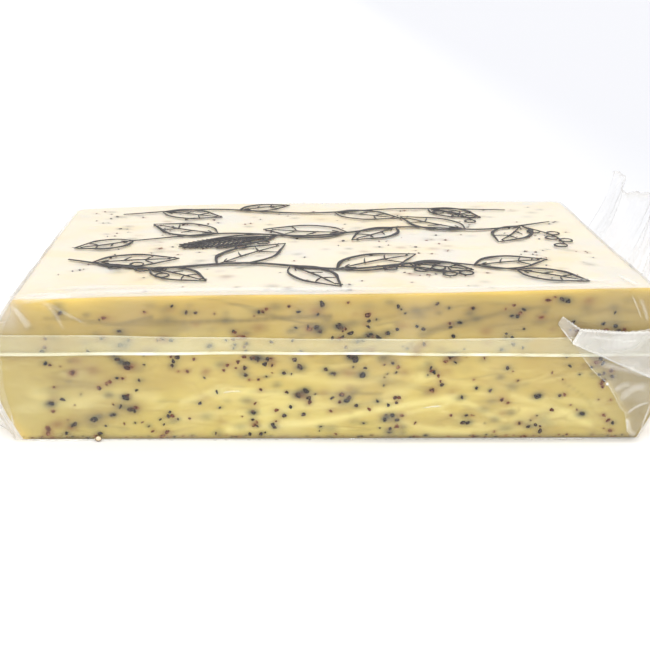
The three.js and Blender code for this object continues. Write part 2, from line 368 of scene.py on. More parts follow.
# A bright centre and a dark rim: painted light and shade of a clear bead
WHEY_LIT_AND_SHADED = [(0.80, 0.66, 0.44, 1), (0.16, 0.09, 0.04, 1)]
FILM_CLEAR = (0.97, 0.965, 0.95, 1)
FILM_LAPPED = (0.98, 0.96, 0.72, 1)
# Greyer than the clear film: painted shade on the folded layers and tails
FILM_FOLDED_SHADED = (0.90, 0.89, 0.86, 1)
FILM_MILKY = (0.97, 0.95, 0.88, 1)
# White of the painted highlights along the film's folds
FILM_HIGHLIGHT = (0.98, 0.97, 0.93, 1)
FLOOR_WHITE = (0.94, 0.94, 0.94, 1)
FLOOR_DIM = (0.65, 0.655, 0.69, 1)
FLOOR_SHADOW = (0.42, 0.40, 0.36, 1)


def marbled_paste(tree, at, mottle):
    """Paste that is tan above and lemon below, with the clouds, streaks and seams of its curds. The change
    from lemon to tan with height is partly painted shade.
    """
    height = add(tree, "SeparateXYZ", {0: at}).outputs["Z"]
    # Lighter and more lemon low down, tan high up: partly painted shade, as if the floor lit the lower part
    lower = blend(tree, spread(tree, height, 0.006, 0.040), PASTE_LOW, PASTE_MID)
    paste = blend(tree, spread(tree, height, 0.036, 0.062), lower, PASTE_HIGH)
    clouds = noise_at(tree, at, 17.0, (1, 1, 2.6), 3.0, 0.8)
    paste = blend(tree, spread(tree, clouds, 0.47, 0.68, 0, 0.55), paste, PASTE_HIGH)
    streaks = noise_at(tree, at, 26.0, (1, 1, 5), 4.0, 1.4, (0.2, 0, 0.4))
    streak = spread(tree, height, 0.044, 0.056, 0.35, 0.7)
    streak = times(tree, spread(tree, streaks, 0.54, 0.70), streak)
    paste = blend(tree, streak, paste, PASTE_DARK)
    pale = noise_at(tree, at, 20.0, (1, 1, 3.6), 2.0, 1.2, (0.3, 0.1, 0.7))
    paler = spread(tree, height, 0.032, 0.052, 0.65, 0.15)
    paler = times(tree, spread(tree, pale, 0.48, 0.70), paler)
    paste = blend(tree, paler, paste, PASTE_PALE)
    seams = noise_at(tree, at, 15.0, (1, 1, 3.4), 2.0, 2.2, (0.8, 0, 0.2))
    seam = spread(tree, maths(tree, "ABSOLUTE", maths(tree, "SUBTRACT", seams, 0.5)), 0.0, 0.022, 1, 0)
    seam = times(tree, seam, spread(tree, clouds, 0.40, 0.56, 0, 0.4))
    paste = blend(tree, seam, paste, PASTE_HIGH)
    paste = blend(tree, spread(tree, mottle, 0.35, 0.75, 0, 0.25), paste, PASTE_HIGH)
    # The shade mask is painted shade, with some dark curd lines
    paste = blend(tree, attribute(tree, "shade"), paste, PASTE_DARK)
    paste = blend(tree, attribute(tree, "pale"), paste, PASTE_PALE)
    # Painted light: the edge mask puts the glow of light through the thin rim into the colour
    return blend(tree, attribute(tree, "edge"), paste, PASTE_RIM_GLOW)


def side_rind(tree, at):
    patches = noise_at(tree, at, 60.0, (1, 1, 1), 5.0, 0.6)
    return blend(tree, spread(tree, patches, 0.45, 0.7, 0, 0.6), RIND_SIDE, RIND_SPOT)


def cream_rind(tree, at):
    """The top's rind: cream, with warm clouds and a cool veil."""
    cloud = noise_at(tree, at, 17.0, (1, 1.6, 1), 4.0, 0.8)
    top = blend(tree, spread(tree, cloud, 0.45, 0.7), RIND_TOP, RIND_TOP_WARM)
    veil = noise_at(tree, at, 26.0, (1, 1.5, 1), 3.0, 0.5, (0.5, 0.2, 0))
    return blend(tree, spread(tree, veil, 0.5, 0.72, 0, 0.8), top, RIND_TOP_COOL)


def cheese_material():
    """The block under its film: paste at the cut, rind at the heels and on top, and sunk grains."""
    material, tree = new_material("peppered_cheese")
    at = object_places(tree)
    mottle = noise_at(tree, at, 110.0, (1, 1, 1.8), 5.0, 0.6)
    colour = marbled_paste(tree, at, mottle)
    colour = blend(tree, attribute(tree, "rind"), colour, side_rind(tree, at))
    colour = blend(tree, attribute(tree, "top"), colour, cream_rind(tree, at))
    colour = blend(tree, attribute(tree, "sunk_grey"), colour, SUNK_GREY)
    colour = blend(tree, attribute(tree, "sunk_warm"), colour, SUNK_WARM)
    inputs = {
        "Base Color": colour,
        "Roughness": spread(tree, mottle, 0.3, 0.7, 0.38, 0.55),
        "Normal": bumped(tree, noise_at(tree, at, 420.0, detail=4.0), 0.1, 0.0006),
        "Subsurface Weight": 0.2,
        "Subsurface Radius": (1.0, 0.55, 0.2),
        "Subsurface Scale": 0.003,
        "Specular IOR Level": 0.25,
    }
    surface(tree, principled(tree, inputs))
    return material


def grain_material(name, colours):
    """Cracked pepper: each grain lies between a deep and a middle colour, with lighter flecks."""
    deep, mid, light = colours
    material, tree = new_material(name)
    at = object_places(tree)
    flecks = noise_at(tree, at, 700.0, detail=4.0)
    colour = blend(tree, attribute(tree, "tone"), deep, mid)
    colour = blend(tree, spread(tree, flecks, 0.50, 0.66, 0, 0.85), colour, light)
    rough = spread(tree, flecks, 0.3, 0.7, 0.6, 0.85)
    bump = bumped(tree, flecks, 0.3, 0.0003)
    inputs = {"Base Color": colour, "Roughness": rough, "Normal": bump, "Specular IOR Level": 0.15}
    surface(tree, principled(tree, inputs))
    return material


def film_material(name, tint, shine, glint, most_gloss, crinkle_scale):
    """Clear film: it lets through all but its haze, which is milky, and its gloss, which is a mirror's."""
    material, tree = new_material(name)
    at = object_places(tree)
    fine = noise_at(tree, at, crinkle_scale, (1, 1, 1.3), 3.0, 0.6)
    coarse = noise_at(tree, at, crinkle_scale / 4, (1, 1, 1.6), 2.0, 1.0)
    relief = maths(tree, "ADD", times(tree, fine, 0.35), coarse)
    bump = bumped(tree, relief, 0.4, 0.0012)
    patches = spread(tree, coarse, 0.3, 0.75, 0.75, 1.3)
    haze = times(tree, attribute(tree, "haze"), patches, clamp=True)
    facing = add(tree, "LayerWeight", {"Blend": 0.5, "Normal": bump}).outputs["Facing"]
    glance = maths(tree, "POWER", facing, 5.0)
    gloss = times(tree, maths(tree, "ADD", glance, 0.04), glint, clamp=True)
    gloss = maths(tree, "MINIMUM", gloss, most_gloss)
    whole = maths(tree, "ADD", haze, gloss)
    metal = maths(tree, "DIVIDE", gloss, maths(tree, "ADD", whole, 0.001), clamp=True)
    colour = blend(tree, spread(tree, haze, 0.35, 0.9), tint, FILM_MILKY)
    inputs = {"Base Color": colour, "Roughness": shine, "Metallic": metal, "Normal": bump}
    surface(tree, over_clear(tree, whole, principled(tree, inputs)))
    return material


def highlight_material():
    """Painted highlight where a fold of film gathers light: milky white at the middle of a streak, nothing
    at its sides.
    """
    material, tree = new_material("film_highlight")
    at = object_places(tree)
    uneven = noise_at(tree, at, 150.0, detail=2.0)
    uneven = spread(tree, uneven, 0.3, 0.7, 0.7, 1.1)
    haze = times(tree, attribute(tree, "haze"), uneven, clamp=True)
    painted_light = principled(tree, {"Base Color": FILM_HIGHLIGHT, "Roughness": 0.4})
    surface(tree, over_clear(tree, haze, painted_light))
    return material


def ink_material():
    material, tree = new_material("food_ink")
    at = object_places(tree)
    dry = noise_at(tree, at, 260.0, (1, 3, 1), 5.0, 0.5)
    colour = blend(tree, spread(tree, dry, 0.45, 0.75), *INK)
    rough = spread(tree, dry, 0.3, 0.8, 0.6, 0.85)
    surface(tree, principled(tree, {"Base Color": colour, "Roughness": rough}))
    return material


def whey_material():
    material, tree = new_material("whey")
    facing = add(tree, "LayerWeight", {"Blend": 0.5}).outputs["Facing"]
    # Painted light and shade: light where the bead faces the view, dark at its rim
    colour = blend(tree, spread(tree, facing, 0.05, 0.45), *WHEY_LIT_AND_SHADED)
    inputs = {"Base Color": colour, "Roughness": 0.06, "Coat Weight": 1.0}
    surface(tree, principled(tree, inputs))
    return material


def floor_material():
    """A white floor with painted shade: dimmer and bluish to the back right, and the block's thin shadow
    along the cut face's foot.
    """
    material, tree = new_material("white_floor")
    at = object_places(tree)
    plan = add(tree, "SeparateXYZ", {0: at})
    behind = spread(tree, plan.outputs["Y"], 0.02, 0.3)
    aside = spread(tree, plan.outputs["X"], -0.05, 0.42)
    dim = times(tree, behind, aside)
    colour = blend(tree, dim, FLOOR_WHITE, FLOOR_DIM)
    close = spread(tree, plan.outputs["Y"], -0.0865, -0.0815, 0, 0.6)
    beyond = spread(tree, plan.outputs["Y"], -0.075, -0.06, 1, 0)
    ahead = spread(tree, plan.outputs["X"], -0.08, 0.06)
    inside = spread(tree, plan.outputs["X"], 0.13, 0.14, 1, 0)
    shadow = times(tree, close, beyond)
    shadow = times(tree, shadow, times(tree, ahead, inside))
    colour = blend(tree, shadow, colour, FLOOR_SHADOW)
    inputs = {
        "Base Color": colour,
        "Roughness": 0.75,
        "Emission Color": (1, 1, 1, 1),
        "Emission Strength": 0.1,
    }
    surface(tree, principled(tree, inputs))
    return material


# Pepper

def drawer(seed):
    """A repeatable random draw between 0 and 1, the same as the solids'."""
    state = seed

    def draw():
        nonlocal state
        state = (state * 1664525 + 1013904223) & 0xFFFFFFFF
        return state / 4294967296

    return draw


def surface_point(face, across, up):
    """The place on a face at shares of its width and height, clear of its edges."""
    covered = lerp(FACE_MARGIN, 1 - FACE_MARGIN, across)
    share = lerp(FACE_MARGIN, 1 - FACE_MARGIN, up)
    if face == "top":
        x = lerp(-HALF_LENGTH, HALF_LENGTH, covered)
        y = lerp(FRONT, BACK, share)
        return np.array([x, y, float(top_height(x, y))])
    path = {
        "cut": lerp(-HALF_LENGTH, HALF_LENGTH, covered),
        "right": lerp(HALF_LENGTH, ARC_START, covered),
        "left": -lerp(HALF_LENGTH, ARC_START, covered),
        "back": lerp(ARC_END, 2 * PATH_END - ARC_END, covered),
    }[face]
    if path > PATH_END:
        path -= 2 * PATH_END
    x, y = wrap_plan(np.array(path), heel_swell(np.array(share)), 0.0)
    return np.array([float(x), float(y), share * float(top_height(x, y))])


def surface_normal(face, across, up):
    """The place on a face at shares of its width and height, and the direction that faces out there."""
    step = 1e-3
    place = surface_point(face, across, up)
    beside = surface_point(face, across + step, up) - place
    above = surface_point(face, across, up + step) - place
    outward = np.cross(beside, above)
    outward /= np.linalg.norm(outward)
    return place, -outward if face == "left" else outward


def large_grains():
    """The grains that the solids have, with the same draws in the same order."""
    draw = drawer(SEED)
    grains = []
    for face, count in GRAINS_ON.items():
        across, up = 0.0, 0.0
        for k in range(count):
            beside = k % 3 == 2
            across = min(max(across + BESIDE_ACROSS * (draw() - 0.5), 0), 1) if beside else draw()
            up = min(max(up + BESIDE_UP * (draw() - 0.5), 0), 1) if beside else draw()
            size = GRAIN_LENGTH * (1 - 0.5 * math.sqrt(k / count))
            stretch = lerp(0.62, 0.95, draw())
            proud = GRAIN_PROUD * lerp(0.7, 1, draw())
            spin = 0.6 * math.sin(draw() * 2 * math.pi)
            draw()  # the solids tumble each grain by one more draw
            place, outward = surface_normal(face, across, up)
            grains.append({"face": face, "across": across, "up": up, "place": place,
                           "outward": outward, "size": size, "stretch": stretch,
                           "proud": proud, "spin": spin, "chip": k})
    return grains


def fine_grains(parents, draw):
    """Smaller chips, some of them strewn close to a large grain as the mill left them."""
    grains = []
    for face, count in FINE_GRAINS_ON.items():
        near = [g for g in parents if g["face"] == face]
        for k in range(count):
            across, up = draw.uniform(0.0, 1.0, 2)
            if k % 3 == 0:
                parent = near[int(draw.integers(len(near)))]
                across = np.clip(parent["across"] + draw.normal(0, 0.014), 0, 1)
                up = np.clip(parent["up"] + draw.normal(0, 0.05), 0, 1)
            place, outward = surface_normal(face, across, up)
            size = draw.uniform(0.8, 1.9) if face == "top" else draw.uniform(1.0, 2.8)
            grains.append({"face": face, "place": place, "outward": outward, "size": size,
                           "stretch": draw.uniform(0.45, 0.9), "proud": 0.14 * size,
                           "spin": draw.uniform(0, 2 * math.pi), "chip": 1000 + k})
    return grains


def foot_chips(draw):
    """Dust and chips that the knife dragged to the lower edge of the cut face."""
    chips = []
    for k in range(FOOT_CHIPS):
        x = draw.uniform(-HALF_LENGTH, HALF_LENGTH)
        place = np.array([x, FRONT + 0.2, draw.uniform(0.9, 2.2)])
        chips.append({"face": "cut", "place": place, "outward": np.array([0, -1.0, 0]),
                      "size": draw.uniform(0.5, 1.5), "stretch": draw.uniform(0.4, 0.8),
                      "proud": 0.25, "spin": draw.uniform(-0.5, 0.5), "chip": 3000 + k})
    return chips


def unit_lump(levels):
    """Places and faces of a ball made of triangles."""
    ball = bmesh.new()
    bmesh.ops.create_icosphere(ball, subdivisions=levels, radius=1.0)
    places = np.array([v.co[:] for v in ball.verts])
    faces = np.array([[v.index for v in f.verts] for f in ball.faces])
    ball.free()
    return places, faces


def grain_places(ball, grain, seed):
    """A cracked corn: an uneven lump with a flat cut top, settled into the surface."""
    draw = np.random.default_rng(seed)
    lumps = ripple(ball, 1.3, seed, 6)
    places = ball * (1 + 0.24 * lumps[:, None])
    for _ in range(5):
        side = draw.normal(size=3)
        side /= np.linalg.norm(side)
        reach = places @ side
        places -= np.outer(np.maximum(0, reach - 0.62), side)
    places[:, 2] = np.minimum(places[:, 2], 0.5)
    half = 0.46 * grain["size"]
    places = places * np.array([half, half * grain["stretch"], half * 0.75])
    turn = np.array(Matrix.Rotation(grain["spin"], 3, "Z"))
    places = places @ turn.T
    places[:, 2] += grain["proud"] - places[:, 2].max()
    lean = np.array(Vector(grain["outward"]).to_track_quat("Z", "Y").to_matrix())
    return places @ lean.T + grain["place"]


def pepper_piece(name, grains, material):
    """All the grains of one kind as one mesh, each with a tone of its own."""
    ball, faces = unit_lump(2)
    places, all_faces, tones = [], [], []
    for k, grain in enumerate(grains):
        all_faces.append(faces + k * len(ball))
        places.append(grain_places(ball, grain, 77 + 13 * grain["chip"] + k))
        tones.append(np.full(len(ball), (k * 0.618) % 1))
    places = np.concatenate(places)
    faces = np.concatenate(all_faces).tolist()
    return mesh_piece(name, places, faces, material, "cheese", {"tone": np.concatenate(tones)})


def of_kind(kind, grains):
    return [grain for grain in grains if grain["kind"] == kind]


def soft_spots(places, grains, reach):
    """How strongly the blurred shade of the grains shows at each place."""
    shade = np.zeros(len(places))
    for grain in grains:
        wide = grain["size"] * reach
        near = np.abs(places - grain["place"]).max(1) < 3 * wide
        if near.any():
            far = np.linalg.norm((places[near] - grain["place"]) * (0.72, 0.9, 1.15), axis=1)
            shade[near] += grain["depth"] * bell(far, 0, wide)
    return np.clip(shade, 0, 1)


# Cheese

def outline_path(step):
    """Distances right round the outline, starting at the middle of the cut face, which is the finest."""
    marks = [0.0, BEND_START, HALF_LENGTH, ARC_START, ARC_END, PATH_END]
    steps = [step, step, 2 * step, step, 2 * step]
    half = np.concatenate([
        np.linspace(a, b, max(2, round((b - a) / fine)), endpoint=False)
        for a, b, fine in zip(marks, marks[1:], steps)
    ])
    return np.concatenate([half, [PATH_END], -half[:0:-1]])


def block_places(step, levels, shrinks, gap, base):
    """Rings of places round the block at a gap, from the base up and then in over the top."""
    path = outline_path(step)
    shares = 0.5 - 0.5 * np.cos(np.pi * levels)
    rings = []
    for share in shares:
        swell = heel_swell(np.full_like(path, share))
        x, y = wrap_plan(path, swell, gap)
        y = np.where(np.abs(path) <= HALF_LENGTH, y + cut_inset(share), y)
        rings.append(np.stack([x, y, base + share * (top_height(x, y) + gap - base)], -1))
    rim = rings[-1]
    for shrink in shrinks:
        x, y = rim[:, 0] * shrink, rim[:, 1] * shrink
        rings.append(on_top(x, y, gap))
    centres = np.array([[0, 0, base], [0, 0, top_height(0.0, 0.0) + gap]])
    return path, np.array(rings), centres


# Dark lines on the cut face, partly curd seams and partly painted shadows of the film's folds, then
# pale curd lines, as (x, height) places with a width and a strength
SHADE_AND_CURD_LINES = [
    ([(-122, 56.3), (-112, 55.9), (-101, 54.6), (-93, 53.6), (-85, 55.1), (-78, 56.9)], 1.15, 1.0),
    ([(-80, 55.4), (-66, 54.6), (-58, 54.8), (-41, 55.3), (-24, 56.7), (-3, 57.6)], 1.1, 0.95),
    ([(-118, 51.5), (-90, 50.6), (-60, 51.6), (-30, 52.4)], 2.2, 0.3),
    ([(-37, 23.2), (-20, 22.3), (6, 22.2), (20, 21.6)], 0.9, 0.5),
    ([(40, 51), (48, 53.7), (61, 56.9), (78, 61.0), (90, 62)], 1.9, 0.85),
    ([(-10, 52), (14, 55.5), (34, 60), (52, 62.5)], 1.8, 0.4),
    ([(84, 55), (100, 57), (116, 61), (128, 60)], 2.2, 0.65),
    ([(100, 27), (110, 20.3), (115.3, 13), (124, 4.2)], 0.8, 0.5),
    ([(-60, 46), (-30, 60), (0, 62), (40, 60)], 2.2, 0.2),
    ([(108, 35.5), (118, 33.4), (127, 32.6), (138, 30)], 1.5, 0.75),
    ([(112, 31), (120, 29.5), (136, 26)], 1.6, 0.6),
    ([(-118, 36), (-100, 39), (-84, 36)], 1.6, 0.3),
]
PALE_LINES = [
    ([(-66, 18), (-58, 20.5), (-52, 22.7), (-37, 22.9), (-23, 21.3), (-10, 19.4)], 1.4, 0.6),
    ([(-46, 5), (-37, 6.1), (-15, 7.5), (2.4, 10.3), (15.5, 13.7), (37, 17.5), (52, 20)], 1.9, 0.85),
    ([(-48, 7), (-39, 9.5), (-24, 13.3), (-6.5, 16.6), (10, 18)], 1.0, 0.4),
    ([(30, 12), (39.6, 14.6), (46, 15.6), (53, 19.4)], 1.1, 0.6),
    ([(29, 8.4), (42, 5.4), (60, 3.4)], 1.2, 0.5),
    ([(44, 16), (48.5, 13.1), (57, 9), (65.4, 6.8)], 1.1, 0.5),
    ([(56, 19), (60.3, 16.5), (68, 12), (75.4, 9.2)], 1.2, 0.55),
    ([(78, 21), (88, 18), (99.6, 14), (113.8, 6.7)], 1.6, 0.5),
    ([(-128, 22), (-112, 18), (-95, 22), (-78, 20)], 3.2, 0.45),
    ([(-20, 30), (8, 27), (30, 30), (60, 26)], 1.6, 0.35),
]


# The lower edge of the ear's shadow on the cut face, as (height, x)
EAR_SHADOW_EDGE = [(1, 132), (13.5, 127.8), (28.4, 117.7), (46.6, 101.2), (55, 94)]


def soft_lines(x, height, lines):
    """How strongly a set of soft lines shows at places on the cut face."""
    strength = np.zeros_like(x)
    for points, width, most in lines:
        line = smooth_line(points, 60)
        far = np.min(np.hypot(x[..., None] - line[:, 0], height[..., None] - line[:, 1]), axis=-1)
        strength = np.maximum(strength, most * bell(far, 0, width))
    return strength


def roughened(path, rings, side_rings):
    """The block's rings of places with the shallow relief that the knife and the rind leave."""
    relief = 0.16 * ripple(rings * np.array([0.35, 0.35, 1.0]), 9.0, 5) + 0.07 * ripple(rings, 4.0, 6)
    share = np.linspace(0, 1, side_rings)[:, None]
    fade = smoothstep(share, 0.0, 0.12) * (1 - smoothstep(share, 0.9, 1.0))
    far = np.abs(path)[None, :]
    wall = rings[:side_rings]
    outward = np.sign(wall[..., 0])
    wall[..., 1] -= np.where(far < BEND_START, relief[:side_rings] * fade, 0)
    wall[..., 0] += np.where(far > HALF_LENGTH + 2, outward * relief[:side_rings] * fade * 1.4, 0)
    rings[side_rings:, :, 2] += 0.5 * relief[side_rings:]
    return rings


def rim_glow(rings, height):
    """Painted light, put into the colour where light would come through the block's thin rim, most of all
    along the left part of its top edge.
    """
    corner = np.abs(rings[..., 0]) - HALF_LENGTH - heel_swell(np.clip(height, 0, 1))
    below = (1 - height) * MEAN_HEIGHT
    glow = np.exp(-np.maximum(0, -corner) / 3.0) * (rings[..., 0] < 0)
    glow *= 0.25 + 0.5 * bell(rings[..., 2], 0, 10)
    glow = np.maximum(glow, 0.75 * np.exp(-below / 2.6))
    glow *= 0.75 + 0.25 * ripple(rings, 30.0, 9)
    upper_left = bell(rings[..., 0], -116, 26) * np.exp(-below / 5.5)
    return np.clip(np.maximum(glow, 0.95 * upper_left), 0, 1)


def cut_shade(x, height):
    """Painted shade on the cut face: at its foot against the floor, under the film's ear, at its upper
    right and its ends, and along dark lines that are partly curd seams and partly shadows of the film's
    folds.
    """
    foot = 0.85 * bell(height, 0, 1.9) + 0.4 * np.exp(-height / 4)
    ear_edge = along(EAR_SHADOW_EDGE, height)
    under_ear = 0.72 * smoothstep(x, ear_edge, ear_edge + 3) * (1 - smoothstep(height, 50, 53))
    upper_right = 0.4 * smoothstep(x, 20, 75) * smoothstep(height, 44, 54)
    ends = 0.32 * smoothstep(np.abs(x - 10), 65, 120)
    # Dark lines, partly curd seams and partly painted shadows of the film's folds
    curd_and_shadow_lines = soft_lines(x, height, SHADE_AND_CURD_LINES)
    return np.clip(np.maximum.reduce([foot, curd_and_shadow_lines, under_ear, upper_right, ends]), 0, 0.9)


def cheese_piece(grains, sunk):
    """The block itself, with masks for its colours: each has a value at the base's and the top's centre."""
    levels = np.linspace(0, 1, 76)
    shrinks = np.linspace(0.992, 0.02, 60)
    side_rings = len(levels)
    path, rings, centres = block_places(0.95, levels, shrinks, 0.0, 0.1)
    rings = roughened(path, rings, side_rings)
    count, around = rings.shape[:2]
    x, y, z = np.moveaxis(rings, -1, 0)
    height = z / top_height(x, y)
    share = np.linspace(0, 1, side_rings)[:, None]
    far = np.abs(path)[None, :]
    off_cut = far > HALF_LENGTH
    top = np.ones((count, around))
    top[:side_rings] = np.where(off_cut, smoothstep(share, 0.78, 0.93), 0)
    rind = np.where(off_cut, smoothstep(far, HALF_LENGTH, HALF_LENGTH + 6), 0)
    rind = rind * (0.8 + 0.12 * ripple(rings, 45.0, 10))
    near_cut = ~off_cut & (y < FRONT + 3)
    masks = {
        "top": (top, 0, 1),
        # The edge mask is painted light glowing through the thin rim
        "edge": (rim_glow(rings, height), 0, 0),
        "rind": (np.clip(rind, 0, 1), 0.7, 0),
        # Painted shade on the cut face, with some dark curd lines
        "shade": (near_cut * cut_shade(x, z), 0, 0),
        "pale": (near_cut * soft_lines(x, z, PALE_LINES), 0, 0),
    }
    attributes = {key: np.append(mask.ravel(), ends) for key, (mask, *ends) in masks.items()}
    places = np.concatenate([rings.reshape(-1, 3), centres])
    attributes["sunk_grey"] = soft_spots(places, of_kind("dark", grains + sunk), 0.7)
    attributes["sunk_warm"] = soft_spots(places, of_kind("warm", grains + sunk), 0.65)
    faces = ring_faces(count, around)
    return mesh_piece("cheese_paste", places, faces, cheese_material(), "cheese", attributes)


def pepper_and_cheese():
    """The pepper on and under the surface, and the block that it is in."""
    draw = np.random.default_rng(SEED)
    grains = large_grains()
    for grain in grains:
        grain["size"] *= LARGE_GRAIN_SCALE[grain["face"]]
    grains += fine_grains(grains, draw) + foot_chips(draw)
    for grain in grains:
        grain["kind"] = "warm" if draw.random() < (0.3 if grain["size"] > 2 else 0.5) else "dark"
        grain["depth"] = draw.uniform(0.25, 0.7)
    sunk = []
    for face, count in SUNK_GRAINS_ON.items():
        for _ in range(count):
            place, outward = surface_normal(face, *draw.uniform(0, 1, 2))
            kind = "warm" if draw.random() < 0.35 else "dark"
            sunk.append({"face": face, "place": place, "size": draw.uniform(1.6, 3.6),
                         "kind": kind, "depth": draw.uniform(0.1, 0.6)})
    cheese_piece(grains, sunk)
    dark = grain_material("pepper_black", PEPPER_BLACK)
    warm = grain_material("pepper_brown", PEPPER_BROWN)
    pepper_piece("pepper_dark", of_kind("dark", grains), dark)
    pepper_piece("pepper_warm", of_kind("warm", grains), warm)


# Print

def smooth_line(points, count):
    """A smooth curve through a few points, as evenly spaced places."""
    points = np.asarray(points, float)
    ends = np.concatenate([[2 * points[0] - points[1]], points, [2 * points[-1] - points[-2]]])
    out = []
    for k in range(len(points) - 1):
        p0, p1, p2, p3 = ends[k:k + 4]
        t = np.linspace(0, 1, 24, endpoint=False)[:, None]
        out.append(0.5 * (2 * p1 + (p2 - p0) * t + (2 * p0 - 5 * p1 + 4 * p2 - p3) * t**2
                          + (3 * p1 - p0 - 3 * p2 + p3) * t**3))
    line = np.concatenate(out + [points[-1:]])
    reach = np.append(0, np.cumsum(np.linalg.norm(np.diff(line, axis=0), axis=1)))
    even = np.linspace(0, reach[-1], count)
    return np.stack([np.interp(even, reach, line[:, 0]), np.interp(even, reach, line[:, 1])], -1)


# How far the ink lies over the top face, and how thick it is
INK_LIFT = SKIN_GAP + 0.4
INK_THICKNESS = 0.3


class Brush:
    """Gathers brush strokes as thin closed ribbons lying on the top face."""

    def __init__(self):
        self.places, self.faces, self.count = [], [], 0
        self.draw = np.random.default_rng(311)

    def stroke(self, points, widest, thin=0.25, heavy=0.5):
        """A stroke through points, as wide as widest where it is heaviest and thinner to its ends."""
        length = np.linalg.norm(np.diff(np.asarray(points, float), axis=0), axis=1).sum()
        line = smooth_line(points, max(6, int(length / 1.6)))
        t = np.linspace(0, 1, len(line))
        swell = np.where(t < heavy, t / heavy, (1 - t) / (1 - heavy))
        swell = 0.78 * (thin + (1 - thin) * np.sin(swell * math.pi / 2))
        swell *= 1 + 0.16 * np.interp(t, np.linspace(0, 1, 12), self.draw.normal(size=12))
        ahead = np.gradient(line, axis=0)
        ahead /= np.linalg.norm(ahead, axis=1, keepdims=True)
        aside = np.stack([-ahead[:, 1], ahead[:, 0]], -1) * (widest * swell / 2)[:, None]
        left, right = line + aside, line - aside
        lift = INK_LIFT + 0.06 * self.draw.random()
        base = lift - INK_THICKNESS
        for edge, rise in ((left, lift), (right, lift), (right, base), (left, base)):
            self.places.append(on_top(*edge.T, rise))
        self.faces += loft_faces(4, len(line), self.count)
        self.count += 4 * len(line)

    def piece(self):
        places = np.concatenate(self.places)
        return mesh_piece(
            "leaf_print", places, self.faces, ink_material(), "cheese", smooth=False
        )


def turned(points, at, angle):
    c, s = math.cos(angle), math.sin(angle)
    return [(at[0] + c * x - s * y, at[1] + s * x + c * y) for x, y in points]


def leaf(brush, at, angle, length, width, filled=False):
    """A pointed leaf, as two brushed edges and its ribs, or filled with close hatching."""
    bow = [(0, 0), (0.22, 0.42), (0.55, 0.5), (0.82, 0.22), (1, 0)]
    upper = [(x * length, y * width) for x, y in bow]
    lower = [(x * length, -0.92 * y * width) for x, y in bow]
    brush.stroke(turned(upper, at, angle), 2.3, 0.3, 0.35)
    brush.stroke(turned(lower, at, angle), 1.7, 0.3, 0.6)
    middle = [(0.04 * length, 0), (0.5 * length, 0.05 * width), (0.9 * length, 0)]
    brush.stroke(turned(middle, at, angle), 1.2)
    ribs, slant, share, thick = (17, 0.16, 1.0, 1.3) if filled else (4, 0.1, 0.72, 0.9)
    for k in range(ribs):
        base = length * lerp(0.1, 0.86, k / (ribs - 1))
        reach = width * 0.46 * math.sin(math.pi * (0.12 + 0.76 * k / (ribs - 1)))
        for side in (1, -1):
            if not filled and side < 0 and k % 2:
                continue
            tip = (base + slant * length, side * reach * share)
            bend = ((base + tip[0]) / 2, tip[1] * 0.6)
            rib = [(base, 0), bend, (min(tip[0], length * 0.98), tip[1])]
            brush.stroke(turned(rib, at, angle), thick, 0.3, 0.3)


def berries(brush, at, angle, count, size):
    """A hanging spike of round berries, each a brushed ring."""
    spine = [(0, 0), (count * size * 0.55, size * 0.5), (count * size * 1.05, -size * 0.2)]
    brush.stroke(turned(spine, at, angle), 1.3, 0.4)
    line = smooth_line(turned(spine, at, angle), count + 1)
    for k, (x, y) in enumerate(line[1:]):
        side = size * 0.42 * (1 if k % 2 else -1)
        centre = (x - side * math.sin(angle), y + side * math.cos(angle))
        ring = [(centre[0] + size * 0.48 * math.cos(a), centre[1] + size * 0.48 * math.sin(a))
                for a in np.linspace(0.4, 2 * math.pi + 0.5, 9)]
        brush.stroke(ring, 1.35, 0.5)


def vine(brush, points, thick, leaves):
    """A stem with leaves growing from it."""
    brush.stroke(points, thick, 0.35, 0.3)
    line = smooth_line(points, 101)
    for share, side, length, width, *filled in leaves:
        k = int(share * 100)
        ahead = line[min(k + 1, 100)] - line[max(k - 1, 0)]
        angle = math.atan2(ahead[1], ahead[0]) + side * 0.62
        leaf(brush, tuple(line[k]), angle, length, width, bool(filled))


# Each stem's (x, y) places, its thickness and its leaves, as (share of the stem, side, length, width) with
# a last word where a leaf is filled
VINES = [
    (
        [(-122, -24), (-84, -40), (-40, -34), (4, -46), (46, -38), (84, -52)],
        3.0,
        [(0.06, 1, 40, 20), (0.2, -1, 34, 17), (0.34, 1, 46, 24), (0.5, -1, 38, 18),
         (0.6, 1, 44, 23), (0.76, -1, 30, 15), (0.9, 1, 36, 20), (0.99, -0.4, 34, 16)],
    ),
    (
        [(118, 34), (80, 20), (38, 26), (-6, 12), (-52, 20), (-98, 8)],
        2.6,
        [(0.08, 1, 36, 19), (0.22, -1, 42, 22), (0.38, 1, 34, 18), (0.5, -1, 44, 24),
         (0.66, 1, 52, 17, "filled"), (0.8, -1, 40, 22), (0.99, 0.3, 30, 16)],
    ),
    (
        [(-108, 62), (-60, 70), (-10, 60), (44, 68), (100, 60)],
        2.2,
        [(0.1, -1, 36, 18), (0.3, 1, 30, 14), (0.55, -1, 38, 20), (0.8, -1, 34, 18)],
    ),
]
# Each spike of berries' place, angle, count and size
BERRIES = [
    ((-104, -32), -0.5, 5, 6.5),
    ((20, -42), -0.35, 6, 6.5),
    ((104, 22), -1.2, 5, 6.5),
    ((-26, 14), -2.4, 5, 6.0),
    ((60, 64), -0.9, 5, 6.0),
]


def print_piece():
    brush = Brush()
    for points, thick, leaves in VINES:
        vine(brush, points, thick, leaves)
    for at, angle, count, size in BERRIES:
        berries(brush, at, angle, count, size)
    return brush.piece()


# Film

